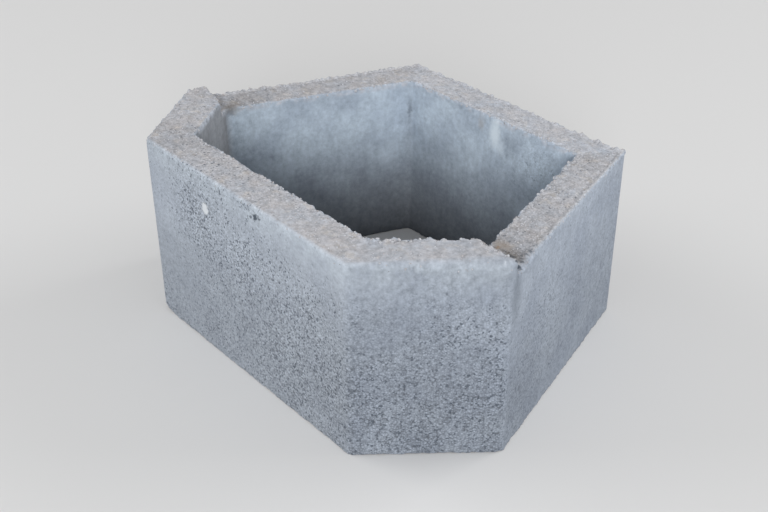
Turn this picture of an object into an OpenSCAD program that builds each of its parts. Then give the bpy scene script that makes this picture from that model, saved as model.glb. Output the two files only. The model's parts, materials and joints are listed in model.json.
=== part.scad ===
// Hollow six-sided concrete block for a stepped, plantable retaining wall.
// Pressed in one piece: straight outer faces, one tapered core right through,
// and a raised lip round the front that stops the block of the next course.
// The block stands on its bed. Its origin is the centre of the plan, at the bed,
// and the wall's front is towards -Y. All sizes are in millimetres.

/* [Overall] */
// Width across the two shoulders, measured to their sharp corners
block_width = 390; // [340:1:460]
// Depth from the front face to the back face
block_depth = 288; // [240:1:380]
// Height from the bed to the rim that carries the next course
bed_height = 150; // [100:1:250]

/* [Plan] */
// Width of the flat front face, measured to its sharp corners
front_width = 252; // [200:1:300]
// Width of the flat back face, measured to its sharp corners
back_width = 246; // [200:1:300]
// Distance of the shoulders behind the front face
shoulder_depth = 86; // [60:1:130]
// Radius of the upright outer corners
corner_radius = 6; // [2:0.5:15]

/* [Core] */
// Wall thickness at the rim, where the core is widest
rim_wall = 34; // [24:0.5:50]
// Wall thickness at the bed, where the core is narrowest
foot_wall = 39; // [24:0.5:50]
// Radius of the upright corners inside the core
core_radius = 12; // [4:0.5:20]

/* [Lip] */
// Height of the front lip above the rim
lip_height = 13; // [6:0.5:25]
// Width of the softened edge round the top of the block
arris = 2; // [0.5:0.25:4]

/* [Hidden] */

// Straight pieces in the arc of one rounded corner
corner_steps = 6;
// Overrun of a cutting shape past the face it cuts
overrun = 10;
// Inward shift left over on the shortest side between two rounded corners
shortest_flat = 1;

half_depth = block_depth / 2;
lip_top = bed_height + lip_height;
shoulder_y = shoulder_depth - half_depth;

// The six sharp corners of the plan, counterclockwise from the front left.
// Side i runs from corner i to the next one
plan = [
    [-front_width / 2, -half_depth],
    [front_width / 2, -half_depth],
    [block_width / 2, shoulder_y],
    [back_width / 2, half_depth],
    [-back_width / 2, half_depth],
    [-block_width / 2, shoulder_y]
];
sides = len(plan);
right_shoulder = 2;

// The lip ends where the rounded shoulders are widest, and both its ends face the back
lip_end_y = shifted_corner(right_shoulder, arris + corner_radius).y;

// The largest inward shift at which every side of the plan keeps some length
deepest_shift = min([for (i = [0 : sides - 1])
    norm(corner(i + 1) - corner(i)) / (tan(turn(i) / 2) + tan(turn(i + 1) / 2))
]);

function unit(v) = v / norm(v);
function corner(i) = plan[(i + sides) % sides];

// Direction of side i, and its normal into the block
function along(i) = unit(corner(i + 1) - corner(i));
function inward(i) = [-along(i).y, along(i).x];

// Angle by which the outline turns at corner i
function turn(i) = acos(along(i - 1) * along(i));

// Corner i after both its sides have moved inwards by shift
function shifted_corner(i, shift) =
    corner(i) + shift * (inward(i - 1) + inward(i)) / (1 + along(i - 1) * along(i));

// Points of corner i, rounded, after both its sides have moved inwards by inset
function rounded_corner(i, inset, radius) =
    let (
        centre = shifted_corner(i, inset + radius),
        out = -inward(i - 1),
        start = atan2(out.y, out.x)
    )
    [for (k = [0 : corner_steps])
        let (angle = start + turn(i) * k / corner_steps)
        centre + radius * [cos(angle), sin(angle)]
    ];

// The plan moved inwards by inset, with every corner rounded
// as far as its shortest side has room for
function outline(inset, radius) =
    let (r = min(radius, deepest_shift - inset - shortest_flat))
    [for (i = [0 : sides - 1]) each rounded_corner(i, inset, r)];

// Wall thickness at height z, on the core's even taper
function wall_at(z) = foot_wall + (rim_wall - foot_wall) * z / bed_height;

// Solid through a stack of outlines that all have as many points
module loft(outlines, heights) {
    n = len(outlines[0]);
    last = len(outlines) - 1;
    points = [for (level = [0 : last]) for (p = outlines[level]) [p.x, p.y, heights[level]]];
    bed = [[for (i = [0 : n - 1]) i]];
    top = [[for (i = [n - 1 : -1 : 0]) last * n + i]];
    walls = [for (level = [0 : last - 1]) for (i = [0 : n - 1])
        let (j = (i + 1) % n, low = level * n, high = low + n)
        [low + i, high + i, high + j, low + j]
    ];
    polyhedron(points, concat(bed, top, walls), convexity = 4);
}

// The outer form up to a height, with its top edge softened
module outer_form(height) {
    face = outline(0, corner_radius);
    loft([face, face, outline(arris, corner_radius)], [0, height - arris, height]);
}

// The front of the outer form, carried up to the top of the lip
module lip_form() {
    intersection() {
        outer_form(lip_top);
        translate([-block_width, lip_end_y - block_depth, 0])
            cube([2 * block_width, block_depth, lip_top + overrun]);
    }
}

// The tapered core, run past the bed and the lip
module core() {
    levels = [-overrun, lip_top + overrun];
    loft([for (z = levels) outline(wall_at(z), core_radius)], levels);
}

module block() {
    color([0.62, 0.65, 0.69])
    difference() {
        union() {
            outer_form(bed_height);
            lip_form();
        }
        core();
    }
}

block();
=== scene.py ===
import json
import math

import bpy
import numpy as np
from mathutils import Matrix, Vector


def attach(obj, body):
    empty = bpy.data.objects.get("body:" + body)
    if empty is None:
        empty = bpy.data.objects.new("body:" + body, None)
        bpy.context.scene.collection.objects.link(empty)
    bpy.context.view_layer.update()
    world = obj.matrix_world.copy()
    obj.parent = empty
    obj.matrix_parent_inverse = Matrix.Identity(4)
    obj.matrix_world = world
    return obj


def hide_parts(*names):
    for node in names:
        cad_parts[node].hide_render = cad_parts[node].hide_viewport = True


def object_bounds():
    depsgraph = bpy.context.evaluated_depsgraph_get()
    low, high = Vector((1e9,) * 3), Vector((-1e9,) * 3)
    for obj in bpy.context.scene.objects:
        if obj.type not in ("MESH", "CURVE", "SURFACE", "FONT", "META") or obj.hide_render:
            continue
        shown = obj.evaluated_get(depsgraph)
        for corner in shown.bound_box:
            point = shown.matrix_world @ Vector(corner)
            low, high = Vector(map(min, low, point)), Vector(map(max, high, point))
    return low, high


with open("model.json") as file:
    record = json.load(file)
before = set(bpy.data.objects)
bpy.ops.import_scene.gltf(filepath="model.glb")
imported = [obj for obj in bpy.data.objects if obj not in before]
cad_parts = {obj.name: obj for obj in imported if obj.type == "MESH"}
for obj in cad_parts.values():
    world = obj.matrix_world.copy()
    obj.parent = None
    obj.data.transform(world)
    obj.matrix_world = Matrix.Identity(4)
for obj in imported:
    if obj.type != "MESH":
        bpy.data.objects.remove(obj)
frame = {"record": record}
cad_low, cad_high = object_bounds()

# Sizes below are in millimetres, and MM turns them into Blender's metres
MM = 0.001

# The block's main sizes, as the frame gives them
mounts = {mount["name"]: mount["pos_m"] for mount in frame["record"]["mounts"]}
FRONT_Y = cad_low.y / MM
BACK_Y = cad_high.y / MM
RIM_Z = mounts["bearing_rim"][2] / MM
LIP_Z = cad_high.z / MM

# The plan: six sharp corners, counterclockwise from the front left, with a side from each to the next.
# Values for each side are in this order: front, right chamfer, right side, back, left side, left chamfer
FRONT_HALF = 126.0
SHOULDER_HALF = 195.0
BACK_HALF = 123.0
SHOULDER_DEPTH = 86.0
SHOULDER_Y = FRONT_Y + SHOULDER_DEPTH
CORNERS = np.array([
    (-FRONT_HALF, FRONT_Y),
    (FRONT_HALF, FRONT_Y),
    (SHOULDER_HALF, SHOULDER_Y),
    (BACK_HALF, BACK_Y),
    (-BACK_HALF, BACK_Y),
    (-SHOULDER_HALF, SHOULDER_Y),
])
# Sides that start and sides that end at a shoulder, where the lip ends
SIDES_FROM_SHOULDER = (2, 5)
SIDES_TO_SHOULDER = (1, 4)
# Radius of each corner, outside and in the core
OUTER_RADIUS = np.array([4.0, 9.0, 7.0, 3.0, 2.5, 6.0])
CORE_RADIUS = np.array([6.0, 12.0, 4.0, 5.0, 7.0, 8.0])

# Wall thickness at the rim, side by side: the core former sat slightly to the right
WALL = np.array([33.5, 33.0, 32.5, 32.5, 35.0, 36.5])
# The wall grows by this much towards the foot
CORE_DRAFT = 5.0
FOOT_ROUNDING = 1.2
# The foot's front left corner is chipped: where, how far round, and by how much
CHIPPED_FOOT = ((-126, -144, 0), (9, 9, 9), 4.5)
CORE_EDGE_ROUNDING = 2.0
# Rounding of the outer top edge where each side starts and ends; the lip is most worn at the right shoulder
ARRIS = ((2.4, 3.0), (3.5, 9.0), (2.0, 1.4), (1.4, 1.6), (1.6, 2.8), (2.8, 2.4))
# Beside the right end of the lip the edge has lost its fin and is rounder: how far along, and by how much
BARE_EDGE = ((190, -43, 150), (20, 32, 60), 1)
BARE_ARRIS = 3.0
# A top that is less than this above the rim is not part of the lip
RIM_TOLERANCE = 1.0

# Grit stands proud of the lip, so the lip's own surface lies this much below the frame's top
GRIT_ROOM = 0.7

# The two ends of the lip: where the end's top edge crosses the middle of the wall and how it slants,
# the radius of its worn outer tip and how far that tip stays inside the face,
# and the length of the slope down to the rim, at the core and at the outer face
LIP_END_MIDDLE = 165.0
LIP_ENDS = {
    "left": {"y": -56.5, "slant": 0.27, "tip": 5.5, "inside": 5.5, "run": 2.5, "outer_run": 3.0},
    "right": {"y": -55.0, "slant": -0.07, "tip": 4.0, "inside": 0.0, "run": 2.5, "outer_run": 8.0},
}
# How far in the longer slope of the outer face is felt, how steeply the tip falls off along the chamfer,
# and how full the curve of the slope is
OUTER_RUN_REACH = 8.0
TIP_STEEPNESS = 1.1
END_FULLNESS = 2.0

# A thin fin along the outer edge of the struck top, and the crease behind it, on each side
FIN = (0.1, 0.0, 0.7, 0.2, 0.7, 0.1)
FIN_WIDTH = 1.4
CREASE_AT = 3.4
CREASE_WIDTH = 1.2

# Spacing of the mesh columns round the plan, closer at the ends of the lip
COLUMN_STEP = 1.5
LIP_END_STEP = 0.7
LIP_END_REACH = 16.0
CORNER_COLUMNS = 9

# The zones of the wall's section, from the foot's outer edge round to the bed, and the rows in each
SECTION = {
    "foot_edge": 3,
    "face": 44,
    "arris": 7,
    "rim": 24,
    "core_edge": 7,
    "core": 22,
    "core_foot": 2,
    "bed": 4,
}
# The zones of the top, and those of the core
TOP_ZONES = ("arris", "rim", "core_edge")
CORE_ZONES = ("core_edge", "core", "core_foot")
# How thickly loose grains lie in the zones that have any
GRAINY_ZONES = {"arris": 0.5, "rim": 0.9, "core_edge": 1.2, "foot_edge": 0.5}
# A distance that counts as away from every edge
FAR = 50.0
# Rows crowd towards the edges: share of a zone's rows against share of its width
CROWDING = {
    "face": ((0, 0.11, 0.73, 1), (0, 0.04, 0.91, 1)),
    "rim": ((0, 0.2, 0.8, 1), (0, 0.13, 0.87, 1)),
    "core": ((0, 0.4, 1), (0, 0.09, 1)),
}

# How open and sandy the outer face and the top of each side are
OPEN_FACE = (0.58, 0.58, 0.2, 0.5, 0.3, 0.58)
OPEN_TOP = (0.5, 0.1, 0.42, 0.3, 0.25, 0.38)
# How streaky the outer face of each side is
STREAKS = (1, 1, 0.5, 1, 1, 1)
# How often the outer face and the top of each side have lost a whole grain
LOST_GRAINS = (1, 0.4, 0.3, 0.5, 0.3, 0.8)
LOST_ON_TOP = (0.7, 0, 0.4, 0.2, 0.2, 1.5)
# How lumpy and how crumbly the edges of the top are on each side, on the core and outside,
# how crumbly the foot's edges and the ends of the lip are, and how far from an edge that reaches
INNER_LUMPS = (0.15, 1, 0.3, 0.2, 0.1, 0.1)
OUTER_LUMPS = (0, 0, 0.1, 0.6, 0.4, 0.1)
INNER_CRUMBLE = (0.7, 1.2, 0.8, 0.6, 0.5, 0.5)
OUTER_CRUMBLE = (0.25, 0.2, 0.6, 1, 1, 0.6)
FOOT_CRUMBLE = 0.35
END_CRUMBLE = 0.9
CRUMBLE_REACH = 2.5
# How thickly sand grains cover the top of each side, how warm and how pale that top is,
# and how strong the painted highlight along its outer edge is
GRAIN_COVER = (0.35, 0.2, 0.55, 0.4, 0.2, 0.4)
TOP_WARMTH = (0.5, 0.35, 0.5, 0.35, 0.55, 0.55)
TOP_TONE = (1.025, 1.035, 0.945, 1.1, 0.965, 1.06)
EDGE_HIGHLIGHT = (0, 0, 0.5, 0.3, 0.6, 0)
EDGE_HIGHLIGHT_WIDTH = 2.0
# How pale and how warm the outer face of each side is, and how pale the band below its top edge
FACE_TONE = (1.1, 0.89, 1.02, 1, 1, 1)
FACE_WARMTH = (0.35, 0, 0, 0, 0, 0.3)
PALE_BAND = (0.9, 0.8, 0.2, 0.4, 0.3, 0.8)
# How sooty the core is on each side
CORE_SOOT = (0, 0, 0, 0, 0, 1)

# Soft round patches, each with its middle, its half size along x, y and z, and its change:
# where the concrete is more open or closer-grained
OPEN_PATCHES = (
    ((-85, -144, 55), (40, 20, 45), -0.35),
    ((-55, -144, 130), (28, 20, 22), 0.4),
    ((20, -144, 105), (60, 20, 20), 0.35),
    ((70, -144, 55), (60, 20, 45), 0.3),
    ((85, -144, 152), (75, 30, 18), -0.5),
    ((160, -101, 160), (60, 60, 38), -0.52),
    ((140, -126, 110), (25, 28, 32), -0.2),
    ((10, -144, 105), (70, 20, 14), 0.15),
    ((150, -114, 20), (45, 50, 25), 0.1),
    ((188, -35, 45), (20, 35, 45), 0.15),
    ((172, 5, 80), (24, 48, 45), 0.14),
    ((150, 68, 12), (24, 45, 22), -0.15),
    ((179, -37, 152), (12, 6, 8), 0.4),
    ((186, -70, 152), (16, 18, 22), -0.4),
    ((-10, -144, 103), (70, 20, 12), 0.12),
    ((-45, -144, 55), (22, 20, 14), 0.2),
    ((-95, -144, 150), (25, 20, 20), -0.25),
    ((-117, -144, 105), (22, 20, 55), -0.35),
    ((-75, -144, 105), (18, 20, 14), 0.2),
    ((-35, -144, 115), (25, 20, 18), 0.15),
    ((90, -144, 30), (40, 20, 20), 0.15),
    ((62, 110, 118), (32, 6, 26), 0.3),
)
# where it is paler or darker: its own tone, and painted light and shade where marked
TONE_AND_LIGHT_PATCHES = (
    ((-95, -144, 65), (45, 20, 55), 0.07),
    ((-110, -144, 108), (30, 20, 20), 0.12),
    ((80, -144, 153), (75, 20, 10), 0.05),
    ((160, -101, 160), (60, 60, 18), 0.02),
    ((95, -144, 100), (40, 20, 25), -0.05),
    ((152, -111, 80), (38, 42, 36), -0.05),
    # Painted highlight down the rounded upright edge at the right shoulder
    ((190, -64, 62), (15, 19, 58), 0.1),
    ((180, -77, 156), (25, 30, 12), -0.05),
    ((140, -126, 128), (30, 30, 18), -0.04),
    ((116, -144, 60), (24, 9, 60), -0.08),
    ((138, -129, 35), (16, 20, 50), 0.08),
    ((10, -144, 108), (75, 20, 18), 0.05),
    ((-30, -144, 58), (45, 20, 18), 0.05),
    ((152, 62, 148), (32, 75, 28), 0.07),
    # Painted shade on the right side next to that edge
    ((189, -40, 35), (18, 35, 45), -0.11),
    ((157, 50, 20), (22, 45, 28), 0.06),
    ((155, 50, 118), (30, 70, 30), 0.02),
    ((-112, -127, 163), (35, 25, 10), -0.12),
    # Painted shade on the rim behind the lip's right end
    ((165, -30, 150), (20, 25, 8), -0.12),
    ((123, 90, 150), (25, 45, 8), 0.07),
    ((161, -10, 150), (18, 18, 8), -0.03),
    ((45, 127, 150), (35, 25, 8), 0.04),
    ((-112, 124, 150), (18, 18, 8), -0.05),
    ((-167, -66, 163), (14, 12, 8), -0.06),
    ((50, -127, 163), (28, 25, 8), 0.06),
    ((135, -106, 163), (15, 18, 6), -0.04),
    ((-168, -27, 150), (22, 40, 8), -0.14),
    # Painted light and shade in the core: paler near its back left corner, darker further along the left
    # side towards the front
    ((-97, 103, 128), (32, 40, 30), 0.14),
    ((-105, 88, 82), (10, 16, 22), 0.16),
    ((-152, -38, 125), (14, 24, 40), -0.2),
    ((-128, 35, 98), (22, 60, 28), -0.04),
    ((35, 111, 135), (70, 8, 20), -0.025),
)
# where a blotchy crust lies on the face
CRUST_PATCHES = (
    ((165, -95, 150), (45, 50, 28), 1),
    ((126, -144, 140), (25, 20, 25), 0.6),
)
# where the top stands proud or is broken away, in millimetres
PROUD_PATCHES = (
    ((-121, 142, 150), (5, 4, 20), 1.5),
    ((187.5, -45, 150), (2.5, 2.5, 20), -1.6),
    ((178, -38.5, 150), (3, 1.5, 20), -0.9),
    ((170, -38, 150), (2.5, 1.2, 20), -0.7),
)


def add_object(name, data):
    """A new object in the scene."""
    piece = bpy.data.objects.new(name, data)
    bpy.context.scene.collection.objects.link(piece)
    return piece


class PlanColumns:
    """The mesh columns round the plan: every rounded corner, then the side that follows it."""

    def __init__(self):
        following = np.roll(CORNERS, -1, axis=0)
        self.length = np.linalg.norm(following - CORNERS, axis=1)
        along = (following - CORNERS) / self.length[:, None]
        inward = np.stack([-along[:, 1], along[:, 0]], axis=1)
        before = np.roll(along, 1, axis=0)
        inward_before = np.roll(inward, 1, axis=0)
        # A corner's travel when only the side before it, or only the side after it, moves in by 1
        self.by_before = along / np.sum(along * inward_before, axis=1)[:, None]
        self.by_after = before / np.sum(before * inward, axis=1)[:, None]

        corner, mark, on_arc = [], [], []
        for k in range(len(CORNERS)):
            arc_marks = np.arange(CORNER_COLUMNS) / CORNER_COLUMNS
            for marks, arc in ((arc_marks, True), (self.side_marks(k), False)):
                corner += [k] * len(marks)
                mark += list(marks)
                on_arc += [arc] * len(marks)
        self.corner = np.array(corner)
        self.after = (self.corner + 1) % len(CORNERS)
        self.mark = np.array(mark)
        self.on_arc = np.array(on_arc)
        self.count = len(corner)

        self.outward = -inward[self.corner]
        start = np.arctan2(-inward_before[:, 1], -inward_before[:, 0])[self.corner]
        turn = np.arccos(np.sum(before * along, axis=1))[self.corner]
        angle = start + turn * self.mark
        self.arc_direction = np.stack([np.cos(angle), np.sin(angle)], axis=1)

        # What differs from column to column: the top's height outside and on the core,
        # where its outer edge has lost the fin, how that edge and the foot are rounded, and the rim's width
        outline = self.points(0.0, 0.0)
        self.outer_top = top_level(outline)
        self.inner_top = top_level(self.points(0.0, 1.0))
        self.bare = patch_sum(at_height(outline, RIM_Z), [BARE_EDGE])
        self.foot = FOOT_ROUNDING + patch_sum(at_height(outline, 0.0), [CHIPPED_FOOT])
        on_rim = self.outer_top < RIM_Z + RIM_TOLERANCE
        self.arris = self.along_sides(ARRIS) + BARE_ARRIS * self.bare * on_rim
        self.rim_width = WALL[self.corner] - CORE_EDGE_ROUNDING - self.arris

    def side_marks(self, k):
        """Marks from 0 to 1 along side k, without the last one."""
        fine_first = k in SIDES_FROM_SHOULDER
        fine_last = k in SIDES_TO_SHOULDER
        length = self.length[k]
        steps = [0.0]
        while steps[-1] < length:
            at = steps[-1]
            near_start = fine_first and at < LIP_END_REACH
            near_end = fine_last and length - at < LIP_END_REACH
            steps.append(at + (LIP_END_STEP if near_start or near_end else COLUMN_STEP))
        return np.array(steps[:-1]) / steps[-1]

    def arc_centre(self, corner, base, wall_share, radius):
        """Centre of a corner's arc after its two sides have moved in."""
        before = base + radius + wall_share * WALL[corner - 1]
        after = base + radius + wall_share * WALL[corner]
        return (CORNERS[corner] + self.by_before[corner] * before[:, None]
                + self.by_after[corner] * after[:, None])

    def points(self, base, wall_share):
        """Plan positions of all columns, moved in from the outer faces by base and a share of the wall."""
        radius = OUTER_RADIUS + (CORE_RADIUS - OUTER_RADIUS) * wall_share
        here = self.arc_centre(self.corner, base, wall_share, radius[self.corner])
        there = self.arc_centre(self.after, base, wall_share, radius[self.after])
        arc = here + radius[self.corner][:, None] * self.arc_direction
        first = here + radius[self.corner][:, None] * self.outward
        last = there + radius[self.after][:, None] * self.outward
        side = first + (last - first) * self.mark[:, None]
        return np.where(self.on_arc[:, None], arc, side)

    def along_sides(self, start_and_end):
        """Values given for the start and the end of each side, drawn straight between them."""
        start, end = np.asarray(start_and_end).T
        first = np.where(self.on_arc, end[self.corner - 1], start[self.corner])
        last = np.where(self.on_arc, start[self.corner], end[self.corner])
        return first + (last - first) * self.mark

    def by_side(self, per_side):
        """A value given for each side, blended round the corners."""
        values = np.asarray(per_side)
        here = values[self.corner]
        before = values[self.corner - 1]
        return np.where(self.on_arc, before + (here - before) * self.mark, here)


def direction(x, y):
    """A direction in the plan, of length 1."""
    vector = np.array([x, y])
    return vector / np.linalg.norm(vector)


# The right shoulder, and the directions out of the chamfer and the side that meet there
SHOULDER = np.array([SHOULDER_HALF, SHOULDER_Y])
CHAMFER_OUT = direction(SHOULDER_Y - FRONT_Y, FRONT_HALF - SHOULDER_HALF)
SIDE_OUT = direction(BACK_Y - SHOULDER_Y, SHOULDER_HALF - BACK_HALF)


def worn_end(end, points):
    """One end of the lip, on the right half of the plan: how far the lip stands up at points,
    and their distance from the end's top edge."""
    end_out = direction(-end["slant"], 1.0)
    end_along = np.array([end_out[1], -end_out[0]])
    to_tip = np.array([-CHAMFER_OUT[1], CHAMFER_OUT[0]])
    middle = np.array([LIP_END_MIDDLE, end["y"]])
    from_side = np.clip(-(points - SHOULDER) @ SIDE_OUT, 0.0, None)
    run = end["run"] + (end["outer_run"] - end["run"]) * np.exp(-from_side / OUTER_RUN_REACH)
    inside = -(points - middle) @ end_out + run
    # The worn tip is an arc between the end and the chamfer
    radius = end["tip"]
    aims = np.array([end_out @ middle - radius, CHAMFER_OUT @ SHOULDER - radius - end["inside"]])
    centre = np.linalg.solve(np.stack([end_out, CHAMFER_OUT]), aims)
    offset = points - centre
    past = offset @ to_tip
    on_tip = offset @ end_along > 0.0
    arc = radius - np.linalg.norm(offset, axis=1)
    flank = radius - offset @ CHAMFER_OUT - TIP_STEEPNESS * past
    inside = np.where(on_tip & (past > 0.0), np.minimum(inside, arc + run), inside)
    inside = np.where(on_tip & (past <= 0.0), np.minimum(inside, flank + run), inside)
    depth = np.clip(inside / run, 0.0, 1.0)
    share = (1.0 - (1.0 - depth) ** END_FULLNESS) ** (1.0 / END_FULLNESS)
    return share, np.abs(inside - run)


def lip_share(xy):
    """How far the lip stands up at plan positions: 1 on the lip, 0 on the rim, a worn slope between.
    Also the distance from the top edge of its end on that side."""
    share = np.zeros(len(xy))
    from_end = np.zeros(len(xy))
    mirrored = np.column_stack([np.abs(xy[:, 0]), xy[:, 1]])
    on_left = xy[:, 0] < 0.0
    for half, end in ((on_left, LIP_ENDS["left"]), (~on_left, LIP_ENDS["right"])):
        share[half], from_end[half] = worn_end(end, mirrored[half])
    return share, from_end


def at_height(xy, z):
    """Points above plan positions, all at one height."""
    return np.column_stack([xy, np.full(len(xy), z)])


def patch_sum(points, patches):
    """Soft round patches added up at points."""
    total = np.zeros(len(points))
    for middle, half, change in patches:
        reach = (points - np.array(middle)) / np.array(half)
        total += change * np.exp(-np.sum(reach ** 2, axis=1))
    return total


def top_level(xy):
    """Height of the struck top at plan positions."""
    lip = (LIP_Z - GRIT_ROOM - RIM_Z) * lip_share(xy)[0]
    return RIM_Z + lip + patch_sum(at_height(xy, RIM_Z), PROUD_PATCHES)


def fin_height(columns, from_edge):
    """The fin along the outer edge and the crease behind it."""
    fin = np.exp(-(from_edge / FIN_WIDTH) ** 2)
    crease = np.exp(-((from_edge - CREASE_AT) / CREASE_WIDTH) ** 2)
    return columns.by_side(FIN) * (fin * (1.0 - columns.bare) - crease)


def section_row(zone, share, columns):
    """Plan position and height of every column in one row of the section."""
    angle = share * math.pi / 2
    foot = columns.foot
    arris = columns.arris
    if zone == "foot_edge":
        xy = columns.points(foot * (1.0 - math.sin(angle)), 0.0)
        z = foot * (1.0 - math.cos(angle))
    elif zone == "face":
        xy = columns.points(0.0, 0.0)
        z = foot + share * (columns.outer_top - arris - foot)
    elif zone == "arris":
        xy = columns.points(arris * (1.0 - math.cos(angle)), 0.0)
        z = top_level(xy) - arris * (1.0 - math.sin(angle)) + fin_height(columns, 0.0) * share ** 2
    elif zone == "rim":
        xy = columns.points(arris * (1.0 - share) - share * CORE_EDGE_ROUNDING, share)
        z = top_level(xy) + fin_height(columns, share * columns.rim_width)
    elif zone == "core_edge":
        xy = columns.points(-CORE_EDGE_ROUNDING * (1.0 - math.sin(angle)), 1.0)
        z = top_level(xy) - CORE_EDGE_ROUNDING * (1.0 - math.cos(angle))
    elif zone == "core":
        top = columns.inner_top - CORE_EDGE_ROUNDING
        z = top + share * (FOOT_ROUNDING - top)
        xy = columns.points(CORE_DRAFT * (1.0 - np.minimum(z, RIM_Z) / RIM_Z), 1.0)
    elif zone == "core_foot":
        xy = columns.points(CORE_DRAFT - FOOT_ROUNDING * (1.0 - math.cos(angle)), 1.0)
        z = np.full(columns.count, FOOT_ROUNDING * (1.0 - math.sin(angle)))
    else:
        xy = columns.points((CORE_DRAFT - FOOT_ROUNDING) * (1.0 - share) + foot * share, 1.0 - share)
        z = np.zeros(columns.count)
    return xy, z


def edge_distances(zone, share, columns, z, drop):
    """How far one row lies from the top's outer edge, from its core edge and from the foot."""
    at_edge = np.zeros(columns.count)
    off_outer = np.full(columns.count, FAR)
    off_inner = off_outer
    off_foot = off_outer
    if zone in ("foot_edge", "core_foot"):
        off_foot = at_edge
    elif zone == "face":
        off_outer = np.clip(drop - columns.arris, 0.0, None)
        off_foot = z - columns.foot
    elif zone == "arris":
        off_outer = at_edge
    elif zone == "rim":
        off_outer = share * columns.rim_width
        off_inner = (1.0 - share) * columns.rim_width
    elif zone == "core_edge":
        off_inner = at_edge
    elif zone == "core":
        off_inner = np.clip(drop - CORE_EDGE_ROUNDING, 0.0, None)
    return off_outer, off_inner, off_foot


def near(distance):
    """1 at an edge, and less with the distance from it."""
    return np.exp(-distance / CRUMBLE_REACH)


def row_weights(zone, share, columns, xy, z):
    """What the relief, the grains and the concrete need to know along one row."""
    by_side = columns.by_side
    full = np.ones(columns.count)
    rim = {"arris": share ** 2, "rim": 1.0, "core_edge": (1.0 - share) ** 2}.get(zone, 0.0)
    core = {"core_edge": share, "core": 1.0, "core_foot": 1.0}.get(zone, 0.0)
    face = (1.0 - rim) * (1.0 - core)
    top = columns.inner_top if zone in CORE_ZONES else columns.outer_top
    drop = np.clip(top - z, 0.0, None)
    off_outer, off_inner, off_foot = edge_distances(zone, share, columns, z, drop)

    edge = (by_side(INNER_CRUMBLE) * near(off_inner)
            + by_side(OUTER_CRUMBLE) * near(off_outer)
            + FOOT_CRUMBLE * near(off_foot))
    if zone in TOP_ZONES:
        edge = np.maximum(edge, END_CRUMBLE * near(lip_share(xy)[1]))
    lumps = by_side(INNER_LUMPS) * near(off_inner) + by_side(OUTER_LUMPS) * near(off_outer)
    crumbs = {"rim": edge, "core_edge": by_side(INNER_CRUMBLE)}.get(zone, 0.0 * full)

    openness = by_side(OPEN_FACE) * (1.0 - core)
    openness += (by_side(OPEN_TOP) - openness) * rim
    tone = 1.0 + rim * (by_side(TOP_TONE) - 1.0) + face * (by_side(FACE_TONE) - 1.0)
    edge_highlight = by_side(EDGE_HIGHLIGHT) * np.exp(-(off_outer / EDGE_HIGHLIGHT_WIDTH) ** 2)
    points = np.column_stack([xy, z])
    return {
        "rim": rim * full,
        "core": core * full,
        "edge": edge,
        "lumps": lumps,
        "open_texture": np.clip(openness + patch_sum(points, OPEN_PATCHES), 0.0, 1.0),
        "streaks": by_side(STREAKS) * face + core,
        "lost_grains": by_side(LOST_GRAINS) * face + by_side(LOST_ON_TOP) * rim,
        "crust": patch_sum(points, CRUST_PATCHES) * face,
        # Tone, with painted light and shade from some of the patches
        "tone": tone + patch_sum(points, TONE_AND_LIGHT_PATCHES),
        "warmth": by_side(TOP_WARMTH) * rim + by_side(FACE_WARMTH) * face,
        "band": by_side(PALE_BAND) * face,
        "soot": by_side(CORE_SOOT) * core,
        # Painted highlight along the top's outer edge, left off where the fin is gone
        "edge_highlight": edge_highlight * (1.0 - columns.bare),
        "drop": drop * MM,
        "grains": GRAINY_ZONES.get(zone, 0.0) * by_side(GRAIN_COVER),
        "crumbs": crumbs ** 2,
    }


def cast_wall():
    """The whole block as one closed mesh: the wall's section carried round the plan."""
    columns = PlanColumns()
    points = []
    weights = {}
    for zone, rows in SECTION.items():
        for row in range(rows):
            share = row / rows
            if zone in CROWDING:
                share = float(np.interp(share, *CROWDING[zone]))
            xy, z = section_row(zone, share, columns)
            points.append(np.column_stack([xy, z]))
            for name, values in row_weights(zone, share, columns, xy, z).items():
                weights.setdefault(name, []).append(values)

    rows = len(points)
    index = np.arange(rows * columns.count).reshape(rows, columns.count)
    across = np.roll(index, -1, axis=1)
    above = np.roll(index, -1, axis=0)
    quads = np.stack([index, across, np.roll(across, -1, axis=0), above], axis=-1).reshape(-1, 4)

    mesh = bpy.data.meshes.new("block")
    mesh.from_pydata((np.concatenate(points) * MM).tolist(), [], quads.tolist())
    for name, values in weights.items():
        layer = mesh.attributes.new(name, "FLOAT", "POINT")
        layer.data.foreach_set("value", np.concatenate(values).astype(np.float32))
    return add_object("retaining_block", mesh)


def add_node(tree, kind, inputs=None, **settings):
    """A new node with its settings, and its inputs set to values or linked to other nodes."""
    node = tree.nodes.new(kind)
    for name, value in settings.items():
        setattr(node, name, value)
    for key, value in (inputs or {}).items():
        if isinstance(value, bpy.types.NodeSocket):
            tree.links.new(value, node.inputs[key])
        else:
            node.inputs[key].default_value = value
    return node


def calc(tree, operation, first, second=0.0, third=0.0):
    """One step of arithmetic on numbers."""
    inputs = {0: first, 1: second, 2: third}
    return add_node(tree, "ShaderNodeMath", inputs, operation=operation).outputs[0]


def times(tree, first, second):
    """The product of two numbers."""
    return calc(tree, "MULTIPLY", first, second)


def ramp(tree, value, low, high, to_low=0.0, to_high=1.0):
    """A smooth step from to_low to to_high while the value goes from low to high."""
    inputs = {0: value, 1: low, 2: high, 3: to_low, 4: to_high}
    return add_node(tree, "ShaderNodeMapRange", inputs, interpolation_type="SMOOTHSTEP").outputs[0]


def vector_calc(tree, operation, first, second):
    """One step of arithmetic on vectors."""
    return add_node(tree, "ShaderNodeVectorMath", {0: first, 1: second}, operation=operation).outputs[0]


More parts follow.
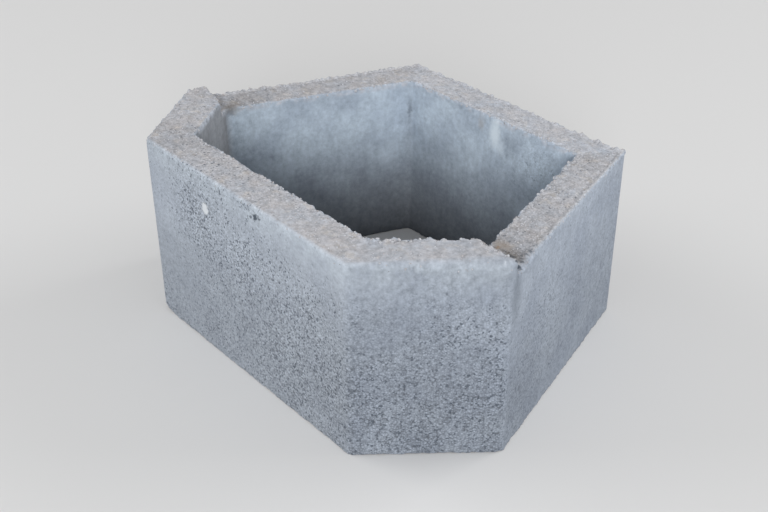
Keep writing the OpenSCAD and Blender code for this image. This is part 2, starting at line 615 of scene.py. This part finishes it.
def scaled(tree, vector, scale):
    """A vector or a colour times a number."""
    inputs = {0: vector, "Scale": scale}
    return add_node(tree, "ShaderNodeVectorMath", inputs, operation="SCALE").outputs[0]


def noise(tree, vector, grain, detail=2.0, roughness=0.55):
    """Noise around 0.5, with marks about as wide as grain, in millimetres."""
    inputs = {"Vector": vector, "Scale": 1.0 / (grain * MM), "Detail": detail, "Roughness": roughness}
    return add_node(tree, "ShaderNodeTexNoise", inputs).outputs["Fac"]


def centred(tree, value):
    """A value around 0.5, moved to lie around 0."""
    return calc(tree, "SUBTRACT", value, 0.5)


def stray(tree, place, grain, reach, detail=2.0):
    """A random offset of up to half of reach, in marks about as wide as grain, in millimetres."""
    inputs = {"Vector": place, "Scale": 1.0 / (grain * MM), "Detail": detail}
    random = add_node(tree, "ShaderNodeTexNoise", inputs).outputs["Color"]
    offset = vector_calc(tree, "SUBTRACT", random, (0.5, 0.5, 0.5))
    return scaled(tree, offset, reach)


def node_group(name, sockets):
    """An empty Geometry Nodes tree with named inputs, and its input node."""
    tree = bpy.data.node_groups.new(name, "GeometryNodeTree")
    tree.interface.new_socket("Geometry", in_out="OUTPUT", socket_type="NodeSocketGeometry")
    tree.interface.new_socket("Geometry", in_out="INPUT", socket_type="NodeSocketGeometry")
    for label, kind in sockets:
        tree.interface.new_socket(label, in_out="INPUT", socket_type=f"NodeSocket{kind}")
    return tree, tree.nodes.new("NodeGroupInput").outputs


def close_group(tree, geometry, material):
    """The end of every tree: real meshes with their material."""
    real = add_node(tree, "GeometryNodeRealizeInstances", {"Geometry": geometry})
    dressed = add_node(tree, "GeometryNodeSetMaterial", {"Geometry": real.outputs[0], "Material": material})
    add_node(tree, "NodeGroupOutput", {"Geometry": dressed.outputs[0]})


def weight(tree, name):
    """One of the weights that a mesh carries, in a Geometry Nodes tree or in a material."""
    if tree.bl_idname == "GeometryNodeTree":
        node = add_node(tree, "GeometryNodeInputNamedAttribute", {"Name": name}, data_type="FLOAT")
        return node.outputs[0]
    return add_node(tree, "ShaderNodeAttribute", attribute_name=name).outputs["Fac"]


def run_group(source, tree, values):
    """The mesh that a tree makes from an object, with the object itself left as it was."""
    modifier = source.modifiers.new(tree.name, "NODES")
    modifier.node_group = tree
    for item in tree.interface.items_tree:
        if item.in_out == "INPUT" and item.name in values:
            modifier[item.identifier] = values[item.name]
    graph = bpy.context.evaluated_depsgraph_get()
    mesh = bpy.data.meshes.new_from_object(
        source.evaluated_get(graph), preserve_all_data_layers=True, depsgraph=graph)
    source.modifiers.remove(modifier)
    return mesh


def keep_in_box(mesh):
    """Brings the points of a mesh that lie outside the frame's box back onto it."""
    points = np.empty(len(mesh.vertices) * 3, dtype=np.float32)
    mesh.vertices.foreach_get("co", points)
    points = np.clip(points.reshape(-1, 3), np.array(cad_low), np.array(cad_high))
    mesh.vertices.foreach_set("co", points.ravel())
    mesh.update()


# Roughness of the noise in gritty textures
GRITTY = 0.6
# The relief of the wall's skin: heights and sizes of its lumps, crumbs, grit and waves
RELIEF = {
    "Lump Height": 3.2, "Lump Size": 7.0,
    "Crumb Height": 3.6, "Crumb Size": 4.5,
    "Grit Height": 1.0, "Grit Size": 3.5,
    "Face Waviness": 0.6, "Face Wave Size": 45.0,
}
RELIEF_SEED = 3.0
# Least and greatest stretch of a loose grain along its own axes, and the size of the dents in it
GRAIN_LEAST = (0.7, 0.7, 0.5)
GRAIN_GREATEST = (1.3, 1.1, 0.9)
GRAIN_DENT = 0.8


def relief_group():
    """Moves the wall's skin along its normals: crumbled edges, a gritty top and slightly wavy faces."""
    sockets = [(name, "Float") for name in RELIEF]
    tree, given = node_group("cast_relief", sockets + [("Seed", "Float"), ("Material", "Material")])
    place = add_node(tree, "GeometryNodeInputPosition").outputs[0]
    normal = add_node(tree, "GeometryNodeInputNormal").outputs[0]

    def rough(size, height, detail, seed_shift):
        """Rough relief of a size and height, around 0."""
        scale = calc(tree, "DIVIDE", 1.0, size)
        seed = calc(tree, "ADD", given["Seed"], seed_shift)
        inputs = {"Vector": place, "W": seed, "Scale": scale, "Detail": detail, "Roughness": GRITTY}
        fac = add_node(tree, "ShaderNodeTexNoise", inputs, noise_dimensions="4D").outputs["Fac"]
        return times(tree, centred(tree, fac), height)

    def clods(size, height):
        """Round clods of a size and height, side by side."""
        inputs = {"Vector": place, "W": given["Seed"], "Scale": calc(tree, "DIVIDE", 1.0, size)}
        cells = add_node(tree, "ShaderNodeTexVoronoi", inputs, voronoi_dimensions="4D")
        return times(tree, calc(tree, "SUBTRACT", 0.5, cells.outputs["Distance"]), height)

    lumps = clods(given["Lump Size"], given["Lump Height"])
    lumps = times(tree, lumps, weight(tree, "lumps"))
    crumbs = rough(given["Crumb Size"], given["Crumb Height"], detail=3.0, seed_shift=0.0)
    crumbs = calc(tree, "ADD", crumbs, clods(given["Crumb Size"], given["Crumb Height"]))
    crumbs = calc(tree, "MULTIPLY_ADD", crumbs, weight(tree, "edge"), lumps)
    grit = rough(given["Grit Size"], given["Grit Height"], detail=2.0, seed_shift=7.0)
    grit = times(tree, grit, weight(tree, "rim"))
    waves = rough(given["Face Wave Size"], given["Face Waviness"], detail=2.0, seed_shift=13.0)
    lift = calc(tree, "ADD", calc(tree, "ADD", crumbs, grit), waves)
    offset = scaled(tree, normal, lift)
    moved = add_node(tree, "GeometryNodeSetPosition", {"Geometry": given["Geometry"], "Offset": offset})
    close_group(tree, moved.outputs[0], given["Material"])
    return tree


def grain_group(name, weight_name):
    """Scatters angular sand grains, half sunk, where the wall's own weight asks for them."""
    tree, given = node_group(name, (
        ("Density", "Float"), ("Smallest", "Float"), ("Largest", "Float"), ("Angularity", "Float"),
        ("Seed", "Int"), ("Material", "Material")))
    seed = given["Seed"]
    density = times(tree, weight(tree, weight_name), given["Density"])
    scatter = add_node(tree, "GeometryNodeDistributePointsOnFaces", {
        "Mesh": given["Geometry"], "Density": density, "Seed": seed})
    # A ball of size 1, which is scaled, squashed and turned in another way for every grain
    ball = add_node(tree, "GeometryNodeMeshIcoSphere", {"Radius": 0.5, "Subdivisions": 1})
    size = add_node(tree, "FunctionNodeRandomValue", {
        "Min": given["Smallest"], "Max": given["Largest"], "Seed": seed}, data_type="FLOAT").outputs[1]
    turn = add_node(tree, "FunctionNodeRandomValue", {
        "Max": (math.tau, math.tau, math.tau), "Seed": seed}, data_type="FLOAT_VECTOR").outputs[0]
    squash = add_node(tree, "FunctionNodeRandomValue", {
        "Min": GRAIN_LEAST, "Max": GRAIN_GREATEST, "Seed": seed}, data_type="FLOAT_VECTOR").outputs[0]
    laid = add_node(tree, "GeometryNodeInstanceOnPoints", {
        "Points": scatter.outputs["Points"], "Instance": ball.outputs["Mesh"],
        "Rotation": turn, "Scale": scaled(tree, squash, size)})
    tint = add_node(tree, "FunctionNodeRandomValue", {"Seed": seed}, data_type="FLOAT").outputs[1]
    tinted = add_node(tree, "GeometryNodeStoreNamedAttribute", {
        "Geometry": laid.outputs[0], "Name": "tint", "Value": tint}, data_type="FLOAT", domain="INSTANCE")
    real = add_node(tree, "GeometryNodeRealizeInstances", {"Geometry": tinted.outputs[0]})
    place = add_node(tree, "GeometryNodeInputPosition").outputs[0]
    dents = stray(tree, place, GRAIN_DENT, given["Angularity"])
    broken = add_node(tree, "GeometryNodeSetPosition", {"Geometry": real.outputs[0], "Offset": dents})
    close_group(tree, broken.outputs[0], given["Material"])
    return tree


def srgb(red, green, blue):
    """A colour as a picture shows it, 0 to 255, as the linear colour that a shader takes."""
    linear = [((c / 255.0 + 0.055) / 1.055) ** 2.4 for c in (red, green, blue)]
    return (*linear, 1.0)


def blend(tree, factor, first, second):
    """A colour between two colours."""
    inputs = {0: factor, 6: first, 7: second}
    return add_node(tree, "ShaderNodeMix", inputs, data_type="RGBA").outputs[2]


def depth_ramp(tree, drop, depths, to_first=0.0, to_second=1.0):
    """A smooth step between two depths below the top, in millimetres."""
    first, second = depths
    return ramp(tree, drop, first * MM, second * MM, to_first, to_second)


def new_finish(name, roughness, specular=0.5):
    """A new material, its tree and its shader."""
    material = bpy.data.materials.new(name)
    material.use_nodes = True
    shader = material.node_tree.nodes["Principled BSDF"]
    shader.inputs["Roughness"].default_value = roughness
    shader.inputs["Specular IOR Level"].default_value = specular
    return material, material.node_tree, shader


# Colours as a picture shows them
FACE_LIGHT = srgb(172, 181, 194)
FACE_DARK = srgb(161, 170, 184)
FACE_WARM = srgb(170, 176, 183)
FACE_BAND = srgb(180, 189, 199)
CORE_LIGHT = srgb(180, 193, 206)
CORE_DARK = srgb(160, 172, 186)
RIM_WARM = srgb(182, 178, 178)
RIM_COOL = srgb(174, 180, 190)
# Painted highlight along the outer edge of the top
RIM_HIGHLIGHT = srgb(196, 199, 204)
RIM_TAN = srgb(188, 180, 170)
# Painted shade in pits and hollows, which the mesh doesn't have
PIT_SHADE = srgb(78, 86, 97)
# Painted shade deep in the core
PAINTED_CORE_SHADE = srgb(96, 92, 91)
GRAIN_WARM = srgb(178, 174, 174)
GRAIN_PALE = srgb(186, 188, 193)
GRAIN_DARK = srgb(130, 130, 134)
CHALK = srgb(230, 235, 240)
SMEAR = srgb(206, 217, 226)
RUST = srgb(160, 150, 141)
TAN = srgb(158, 138, 120)
# Damp stains, and painted shade in the core's back left corner and behind the lip's right end
DAMP_AND_SHADE = srgb(104, 112, 122)
SOOT = srgb(136, 136, 138)
# Grime, and painted shade behind the lip's right end
GRIME_AND_SHADE = srgb(112, 107, 102)

# Marks on the concrete, stains and some painted shade: middle in millimetres, half size along x, y and z,
# colour, strength and softness
MARKS = (
    ((-44, -144, 132.4), (4.4, 8, 5), CHALK, 0.9, 0.4),
    # Painted shade in pits near the top of the front face
    ((24.3, -144, 154.4), (2.6, 8, 2.4), PIT_SHADE, 0.95, 0.5),
    ((18.5, -144, 152.2), (1.8, 8, 1.4), PIT_SHADE, 0.7, 0.5),
    ((13.2, -144, 147.5), (1.6, 8, 1.4), PIT_SHADE, 0.7, 0.5),
    ((28.9, -144, 154.7), (1.6, 8, 1.6), PIT_SHADE, 0.8, 0.5),
    ((191, -61.5, 160.5), (1.6, 1.6, 1.6), CHALK, 0.35, 0.7),
    ((162, -33.5, 150), (9, 5.5, 4), RUST, 0.75, 0.9),
    ((161.5, -38, 150), (3, 1.8, 4), TAN, 0.8, 0.8),
    # Painted shade with some grime at the foot of the lip's right end, and painted shade in its pits
    ((165.5, -38.7, 150), (1.6, 1.4, 4), GRIME_AND_SHADE, 0.5, 0.7),
    ((170.7, -37.5, 150), (1.6, 1.7, 4), GRIME_AND_SHADE, 0.7, 0.7),
    ((176, -39.2, 150), (2.8, 1.9, 4), PIT_SHADE, 0.9, 0.7),
    ((182, -41.5, 150), (2.4, 2, 5), DAMP_AND_SHADE, 0.9, 0.7),
    ((187, -44, 150), (2.6, 2.4, 6), PIT_SHADE, 1, 0.5),
    ((179.5, -33.8, 150), (1.5, 1.5, 4), DAMP_AND_SHADE, 0.9, 0.7),
    ((182, -36.4, 150), (1.6, 1.6, 4), PIT_SHADE, 0.85, 0.7),
    ((184.3, -38.6, 150), (1.6, 1.6, 4), PIT_SHADE, 0.85, 0.7),
    ((180.6, -30.5, 150), (2.2, 2.2, 4), DAMP_AND_SHADE, 0.8, 0.7),
    ((179, -24, 150), (2.2, 2.2, 4), DAMP_AND_SHADE, 0.75, 0.7),
    ((176.5, -17, 150), (1.4, 3, 4), DAMP_AND_SHADE, 0.6, 0.8),
    # A stain down the right side, below the shoulder
    ((192, -50, 132), (6, 8, 26), DAMP_AND_SHADE, 0.5, 1),
    # Painted shade with some grime behind the lip's right end
    ((177, -36, 150), (10, 6, 5), GRIME_AND_SHADE, 0.5, 1),
    # Pale smears and stains inside the back wall
    ((11, 111, 136), (6, 6, 13), SMEAR, 0.95, 0.7),
    ((18, 111, 126), (5, 6, 7), SMEAR, 0.4, 1),
    ((-6, 111, 140), (4, 6, 6), RUST, 0.35, 0.9),
    ((31, 111, 132), (9, 6, 10), DAMP_AND_SHADE, 0.25, 1),
    # Painted shade down the core's back left inside corner
    ((-96.5, 110, 122), (2.5, 2.5, 9), DAMP_AND_SHADE, 0.6, 0.7),
    ((-97, 109, 70), (3, 3, 75), DAMP_AND_SHADE, 0.3, 1),
    # Stains round the core's front left corner
    ((-156, -50, 129.5), (3, 3, 3.5), DAMP_AND_SHADE, 0.7, 0.7),
    ((-158, -40, 146), (6, 9, 5), RUST, 0.6, 0.9),
    ((-155, -45.5, 149), (6.5, 6, 5), GRIME_AND_SHADE, 0.7, 0.9),
    ((-152, -47, 146), (4, 4, 4), DAMP_AND_SHADE, 0.6, 0.8),
)
# How far the edge of a mark strays, in what steps and how finely,
# and how far a soft mark fades past its own size
MARK_STRAY = 5.0
MARK_STRAY_SIZE = 3.0
MARK_STRAY_DETAIL = 1.0
MARK_FADE = 0.6

# Sizes of what shows in the concrete, from its clouds down to single grains of sand
CLOUD_SIZE = 36.0
CLUSTER_SIZE = 26.0
TINT_SIZE = 17.0
BLOTCH_SIZE = 10.0
TAN_SIZE = 10.0
STREAK_WIDTH = 4.5
STREAK_SQUEEZE = (1.0, 1.0, 0.08)
MOTTLE_SIZE = 4.0
LOST_GRAIN_SIZE = 2.8
SAND_SIZE = 1.35
# Between which values of a noise its marks appear
FACE_CLOUDS = (0.32, 0.68)
CORE_CLOUDS = (0.3, 0.7)
BAND_BREAKS = (0.2, 0.6)
SPILL_BREAKS = (0.42, 0.6)
TAN_MARKS = (0.52, 0.74)
CLUSTERS = (0.34, 0.66)
# Between which depths the pale band, spilt sand, the core's painted shade and the faces' darkening set in
BAND_DEPTHS = (30.0, 1.0)
SPILL_DEPTHS = (7.0, 2.0)
CORE_SHADE_DEPTHS = (22.0, 150.0)
FADE_DEPTHS = (0.0, 130.0)
# How strong the colours and the core's painted shade are, and how far the outer faces darken towards the
# foot
SOOT_STRENGTH = 0.8
CORE_SHADE_STRENGTH = 0.68
TINT_STRENGTH = 1.4
TAN_STRENGTH = 0.8
FADED = 0.78
# Sand: how far its clusters open the texture, the shade of single grains, and which of them are pale
CLUSTER_OPENNESS = (0.78, 1.12)
SAND_EDGE = 0.45
SAND_ROUNDNESS = 1.3
CLOSE_CONTRAST = 0.06
OPEN_CONTRAST = 0.53
PALE_LUCK = (0.84, 0.94)
PALE_SAND = 0.16
# Mottling from close to open texture, and what the top and a crust add to it
MOTTLED_OPENNESS = (0.1, 0.55)
MOTTLING = (0.5, 0.3)
TOP_MOTTLING = 0.6
CRUST_MOTTLING = 0.3
# Blotches, what the core adds to them, and streaks
BLOTCHES = 0.22
CORE_BLOTCHES = 0.2
STREAK_STRENGTH = 0.22
# Pits: gaps where sand is missing, and hollows where whole grains are lost, darkened with painted shade
MISSING_SAND = 0.18
LESS_ON_TOP = -0.1
GAP_OPENNESS = (0.05, 0.6)
GAP_SHADE = (0.25, 0.72)
LOST_SHARE = 0.25
LOST_POWER = 3.0
HOLLOW_OUTLINE = (0.5, 0.25)
HOLLOW_STRAY = 0.8
HOLLOW_SHADE = 0.75
FULL_PIT = 0.6
# Bump of the mottling and of the sand
MOTTLE_BUMP = 0.8
SAND_BUMP = 0.5
BUMP_STRENGTH = 0.4
BUMP_HEIGHT = 0.8
CONCRETE_ROUGHNESS = 0.95
CONCRETE_SPECULAR = 0.25
# Loose grains: between which tints they are pale or dark, and the size, strength and least shade
# of the mottling on them
PALE_TINTS = (0.15, 0.9)
DARK_TINTS = (0.08, 0.0)
GRAIN_MOTTLE_SIZE = 1.0
GRAIN_MOTTLING = 0.4
GRAIN_SHADE = 0.8
GRAIN_ROUGHNESS = 0.9
GRAIN_SPECULAR = 0.3


def marked(tree, place, colour):
    """A colour with the concrete's single stains and spots on it, some of them painted shade."""
    offset = stray(tree, place, MARK_STRAY_SIZE, MARK_STRAY * MM, MARK_STRAY_DETAIL)
    place = vector_calc(tree, "ADD", place, offset)
    for middle, half, mark_colour, strength, softness in MARKS:
        offset = vector_calc(tree, "SUBTRACT", place, tuple(c * MM for c in middle))
        reach = vector_calc(tree, "MULTIPLY", offset, tuple(1.0 / (h * MM) for h in half))
        length = add_node(tree, "ShaderNodeVectorMath", {0: reach}, operation="LENGTH").outputs["Value"]
        amount = ramp(tree, length, 1.0 + MARK_FADE * softness, 1.0 - softness, 0.0, strength)
        colour = blend(tree, amount, colour, mark_colour)
    return colour


def packed_sand(tree, place, size):
    """Sand grains side by side: the shade and luck of each, 0 to 1, and the distance from its middle."""
    cells = add_node(tree, "ShaderNodeTexVoronoi", {"Vector": place, "Scale": 1.0 / (size * MM)})
    random = add_node(tree, "ShaderNodeSeparateColor", {0: cells.outputs["Color"]}).outputs
    return random[0], random[1], cells.outputs["Distance"]


def face_colour(tree, clouds, blotches, drop, warmth):
    """The moulded outer faces: cool grey clouds, with a broken pale band under the top."""
    colour = blend(tree, ramp(tree, clouds, *FACE_CLOUDS), FACE_DARK, FACE_LIGHT)
    colour = blend(tree, warmth, colour, FACE_WARM)
    band = times(tree, depth_ramp(tree, drop, BAND_DEPTHS), ramp(tree, blotches, *BAND_BREAKS))
    band = times(tree, band, weight(tree, "band"))
    return blend(tree, band, colour, FACE_BAND)


def core_colour(tree, clouds, drop):
    """The walls of the core: bluish clouds, sooty on one side, and painted shade that darkens them with
    depth.
    """
    colour = blend(tree, ramp(tree, clouds, *CORE_CLOUDS), CORE_DARK, CORE_LIGHT)
    soot = times(tree, weight(tree, "soot"), SOOT_STRENGTH)
    colour = blend(tree, soot, colour, SOOT)
    return blend(tree, depth_ramp(tree, drop, CORE_SHADE_DEPTHS, 0.0, CORE_SHADE_STRENGTH), colour, PAINTED_CORE_SHADE)


def top_colour(tree, place, warmth):
    """The struck top: cool and warm greys, tan in places, and a painted highlight along the outer edge."""
    tint = centred(tree, noise(tree, place, TINT_SIZE))
    colour = blend(tree, calc(tree, "MULTIPLY_ADD", tint, TINT_STRENGTH, warmth), RIM_COOL, RIM_WARM)
    tan = ramp(tree, noise(tree, place, TAN_SIZE, 2.0, GRITTY), *TAN_MARKS, 0.0, TAN_STRENGTH)
    colour = blend(tree, times(tree, tan, warmth), colour, RIM_TAN)
    return blend(tree, weight(tree, "edge_highlight"), colour, RIM_HIGHLIGHT)


def sand_shade(tree, openness, sand):
    """Light and dark of the packed sand: every grain a round dab of its own shade, a few of them pale."""
    shade, luck, reach = sand
    dabs = calc(tree, "SUBTRACT", SAND_EDGE, reach)
    dabs = calc(tree, "MULTIPLY_ADD", dabs, SAND_ROUNDNESS, centred(tree, shade))
    contrast = calc(tree, "MULTIPLY_ADD", openness, OPEN_CONTRAST, CLOSE_CONTRAST)
    dabs = times(tree, dabs, contrast)
    pale = times(tree, ramp(tree, luck, *PALE_LUCK), openness)
    return calc(tree, "MULTIPLY_ADD", pale, PALE_SAND, dabs)


def cloudy_shade(tree, openness, rim, core, mottle, blotches):
    """Light and dark of the mottling and the blotches."""
    mottling = ramp(tree, openness, *MOTTLED_OPENNESS, *MOTTLING)
    mottling = calc(tree, "MULTIPLY_ADD", rim, TOP_MOTTLING, mottling)
    mottling = calc(tree, "MULTIPLY_ADD", weight(tree, "crust"), CRUST_MOTTLING, mottling)
    strength = calc(tree, "MULTIPLY_ADD", core, CORE_BLOTCHES, BLOTCHES)
    cloudy = times(tree, centred(tree, blotches), strength)
    return calc(tree, "MULTIPLY_ADD", mottle, mottling, cloudy)


def streaky_shade(tree, place):
    """Light and dark of the upright streaks that the mould left."""
    squeezed = add_node(tree, "ShaderNodeMapping", {"Vector": place, "Scale": STREAK_SQUEEZE}).outputs[0]
    lines = centred(tree, noise(tree, squeezed, STREAK_WIDTH, 3.0, GRITTY))
    lines = times(tree, lines, STREAK_STRENGTH)
    return times(tree, lines, weight(tree, "streaks"))


def even_shade(tree, core, drop):
    """The shade without its texture: the wall's tone, with painted light and shade in some tone patches,
    and outer faces that get darker towards the foot.
    """
    faded = depth_ramp(tree, drop, FADE_DEPTHS, 1.0, FADED)
    faded = add_node(tree, "ShaderNodeMix", {0: core, 2: faded, 3: 1.0}).outputs[0]
    return times(tree, faded, weight(tree, "tone"))


def painted_pit_shade(tree, place, openness, rim, luck, mottle):
    """Where the pits' painted shade goes: small gaps where sand is missing, and hollows where whole grains
    are lost.
    """
    missing = calc(tree, "MULTIPLY_ADD", rim, LESS_ON_TOP, MISSING_SAND)
    missing = times(tree, openness, missing)
    gaps = ramp(tree, luck, missing, times(tree, missing, FULL_PIT))
    gaps = times(tree, gaps, ramp(tree, openness, *GAP_OPENNESS, *GAP_SHADE))

    wide_luck, wide_reach = packed_sand(tree, place, LOST_GRAIN_SIZE)[1:]
    lost = times(tree, calc(tree, "POWER", openness, LOST_POWER), LOST_SHARE)
    lost = times(tree, lost, weight(tree, "lost_grains"))
    hollows = ramp(tree, wide_luck, lost, times(tree, lost, FULL_PIT))
    outline = calc(tree, "MULTIPLY_ADD", mottle, HOLLOW_STRAY, wide_reach)
    hollows = times(tree, hollows, ramp(tree, outline, *HOLLOW_OUTLINE))
    return calc(tree, "MAXIMUM", gaps, times(tree, hollows, HOLLOW_SHADE))


def concrete():
    """Open-textured grey concrete: cool moulded faces, a warmer gritty top, a bluish stained core, with
    painted shade deep in the core and in the pits.
    """
    material, tree, shader = new_finish("concrete", CONCRETE_ROUGHNESS, CONCRETE_SPECULAR)
    place = add_node(tree, "ShaderNodeTexCoord").outputs["Object"]
    rim = weight(tree, "rim")
    core = weight(tree, "core")
    drop = weight(tree, "drop")
    warmth = weight(tree, "warmth")
    clouds = noise(tree, place, CLOUD_SIZE, 3.0)
    blotches = noise(tree, place, BLOTCH_SIZE, 3.0, GRITTY)
    mottle = centred(tree, noise(tree, place, MOTTLE_SIZE, 2.0, GRITTY))
    clusters = ramp(tree, noise(tree, place, CLUSTER_SIZE, 2.0, GRITTY), *CLUSTERS, *CLUSTER_OPENNESS)
    openness = times(tree, weight(tree, "open_texture"), clusters)
    sand = packed_sand(tree, place, SAND_SIZE)

    face = face_colour(tree, clouds, blotches, drop, warmth)
    colour = blend(tree, core, face, core_colour(tree, clouds, drop))
    spilt = times(tree, depth_ramp(tree, drop, SPILL_DEPTHS), ramp(tree, blotches, *SPILL_BREAKS))
    on_top = calc(tree, "MAXIMUM", rim, times(tree, spilt, core))
    colour = blend(tree, on_top, colour, top_colour(tree, place, warmth))

    cloudy = cloudy_shade(tree, openness, rim, core, mottle, blotches)
    grainy = calc(tree, "ADD", sand_shade(tree, openness, sand), cloudy)
    shade = calc(tree, "ADD", grainy, streaky_shade(tree, place))
    shade = calc(tree, "ADD", shade, even_shade(tree, core, drop))
    colour = scaled(tree, colour, shade)
    # Painted shade in the pits
    colour = blend(tree, painted_pit_shade(tree, place, openness, rim, sand[1], mottle), colour, PIT_SHADE)
    colour = marked(tree, place, colour)

    height = calc(tree, "MULTIPLY_ADD", mottle, MOTTLE_BUMP, times(tree, grainy, SAND_BUMP))
    bump = add_node(tree, "ShaderNodeBump", {
        "Height": height, "Strength": BUMP_STRENGTH, "Distance": BUMP_HEIGHT * MM})
    tree.links.new(colour, shader.inputs["Base Color"])
    tree.links.new(bump.outputs[0], shader.inputs["Normal"])
    return material


def sand_grains():
    """The exposed grains: mostly the colour of the top, some paler, a few dark."""
    material, tree, shader = new_finish("sand_grains", GRAIN_ROUGHNESS, GRAIN_SPECULAR)
    place = add_node(tree, "ShaderNodeTexCoord").outputs["Object"]
    tint = weight(tree, "tint")
    colour = blend(tree, ramp(tree, tint, *PALE_TINTS), GRAIN_WARM, GRAIN_PALE)
    colour = blend(tree, ramp(tree, tint, *DARK_TINTS), colour, GRAIN_DARK)
    mottle = calc(tree, "MULTIPLY_ADD", noise(tree, place, GRAIN_MOTTLE_SIZE), GRAIN_MOTTLING, GRAIN_SHADE)
    colour = marked(tree, place, scaled(tree, colour, mottle))
    tree.links.new(colour, shader.inputs["Base Color"])
    return material


def grains_on(block, name, weight_name, values):
    """One piece of loose-looking grains that sit in the concrete."""
    mesh = run_group(block, grain_group(name, weight_name), values)
    keep_in_box(mesh)
    return add_object(name, mesh)


block = cast_wall()
relief = {name: size * MM for name, size in RELIEF.items()}
relief["Seed"] = RELIEF_SEED
relief["Material"] = concrete()
block.data = run_group(block, relief_group(), relief)
keep_in_box(block.data)
block.data.polygons.foreach_set("use_smooth", np.ones(len(block.data.polygons), dtype=bool))

grain_finish = sand_grains()
grains = grains_on(block, "exposed_grains", "grains", {
    "Density": 0.14 / MM ** 2, "Smallest": 0.8 * MM, "Largest": 1.9 * MM, "Angularity": 0.5 * MM,
    "Seed": 11, "Material": grain_finish})
crumbs = grains_on(block, "edge_crumbs", "crumbs", {
    "Density": 0.07 / MM ** 2, "Smallest": 1.4 * MM, "Largest": 3.6 * MM, "Angularity": 1.4 * MM,
    "Seed": 5, "Material": grain_finish})

# The floor: its radius in metres, its colour to look at and the one whose light reaches the block
FLOOR_RADIUS = 2.4
FLOOR_CORNERS = 96
FLOOR_SEEN = srgb(222, 222, 222)
FLOOR_BOUNCE = srgb(90, 90, 90)
FLOOR_ROUGHNESS = 0.9
# Strength of the light from all round, and of the backdrop to look at
DOME = 0.42
BACKDROP = 0.9
# Square lamps: azimuth from the front towards the right and elevation, in degrees,
# the lamp's width in metres and its power in watts
LAMPS = {
    "front_key": (50, 22, 1.25, 85.7),
    "left_fill": (-55, 26, 2.5, 46.5),
    "right_fill": (155, 26, 2.5, 52.7),
}
LAMP_DISTANCE = 3.6
LAMP_AIM = Vector((0.0, 0.0, 0.08))
# Camera at the photograph's viewing angle: its angles in degrees, the point that it looks at
# and the distance from there, and its lens in millimetres
AZIMUTH = 49.82
ELEVATION = 31.31
ROLL = -0.30
AIM = Vector((25.0, -24.8, 75.0)) * MM
DISTANCE = 921.4 * MM
LENS = 53.8


def looked_at(tree):
    """1 where the camera sees the surroundings, also in a reflection, and 0 where they only give light."""
    path = tree.nodes.new("ShaderNodeLightPath").outputs
    seen = calc(tree, "MAXIMUM", path["Is Camera Ray"], path["Is Glossy Ray"])
    return calc(tree, "MAXIMUM", seen, path["Is Transmission Ray"])


def pale_floor():
    """A round pale floor to look at, which throws little light back at the block."""
    material, tree, shader = new_finish("pale_floor", FLOOR_ROUGHNESS)
    tree.links.new(blend(tree, looked_at(tree), FLOOR_BOUNCE, FLOOR_SEEN), shader.inputs["Base Color"])
    mesh = bpy.data.meshes.new("floor")
    edge = [(FLOOR_RADIUS * math.cos(turn), FLOOR_RADIUS * math.sin(turn), 0.0)
            for turn in np.linspace(0.0, math.tau, FLOOR_CORNERS, endpoint=False)]
    mesh.from_pydata(edge, [], [tuple(range(FLOOR_CORNERS))])
    mesh.materials.append(material)
    return add_object("floor", mesh)


def studio_world():
    """Even light from all round, and a pale backdrop to look at."""
    world = bpy.data.worlds.new("studio")
    world.use_nodes = True
    tree = world.node_tree
    background = tree.nodes["Background"]
    background.inputs["Color"].default_value = (1, 1, 1, 1)
    strength = calc(tree, "MULTIPLY_ADD", looked_at(tree), BACKDROP - DOME, DOME)
    tree.links.new(strength, background.inputs["Strength"])
    bpy.context.scene.world = world


def outward(azimuth, elevation):
    """The direction away from the block at angles in degrees, azimuth from the front towards the right."""
    turn = math.radians(azimuth)
    tilt = math.radians(elevation)
    return Vector((math.sin(turn) * math.cos(tilt), -math.cos(turn) * math.cos(tilt), math.sin(tilt)))


def soft_light(name, azimuth, elevation, width, power):
    """A square lamp that faces the block."""
    data = bpy.data.lights.new(name, "AREA")
    data.size = width
    data.energy = power
    lamp = add_object(name, data)
    lamp.location = LAMP_DISTANCE * outward(azimuth, elevation)
    lamp.rotation_euler = (LAMP_AIM - lamp.location).to_track_quat("-Z", "Y").to_euler()


def photo_camera():
    """The scene's camera, which looks at the block as the photograph does, with its slight roll."""
    back = outward(AZIMUTH, ELEVATION)
    turn = math.radians(AZIMUTH)
    roll = math.radians(ROLL)
    level = Vector((math.cos(turn), math.sin(turn), 0.0))
    upright = back.cross(level)
    right = level * math.cos(roll) + upright * math.sin(roll)
    up = upright * math.cos(roll) - level * math.sin(roll)
    data = bpy.data.cameras.new("photo_camera")
    data.lens = LENS
    camera = add_object("photo_camera", data)
    axes = Matrix((right, up, back)).transposed()
    camera.matrix_world = Matrix.Translation(AIM + back * DISTANCE) @ axes.to_4x4()
    bpy.context.scene.camera = camera


floor = pale_floor()
studio_world()
for name, (azimuth, elevation, width, power) in LAMPS.items():
    soft_light(name, azimuth, elevation, width, power)
photo_camera()
bpy.context.scene.view_settings.view_transform = "Standard"

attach(block, "root")
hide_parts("block")
for piece in (grains, crumbs):
    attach(piece, "root")
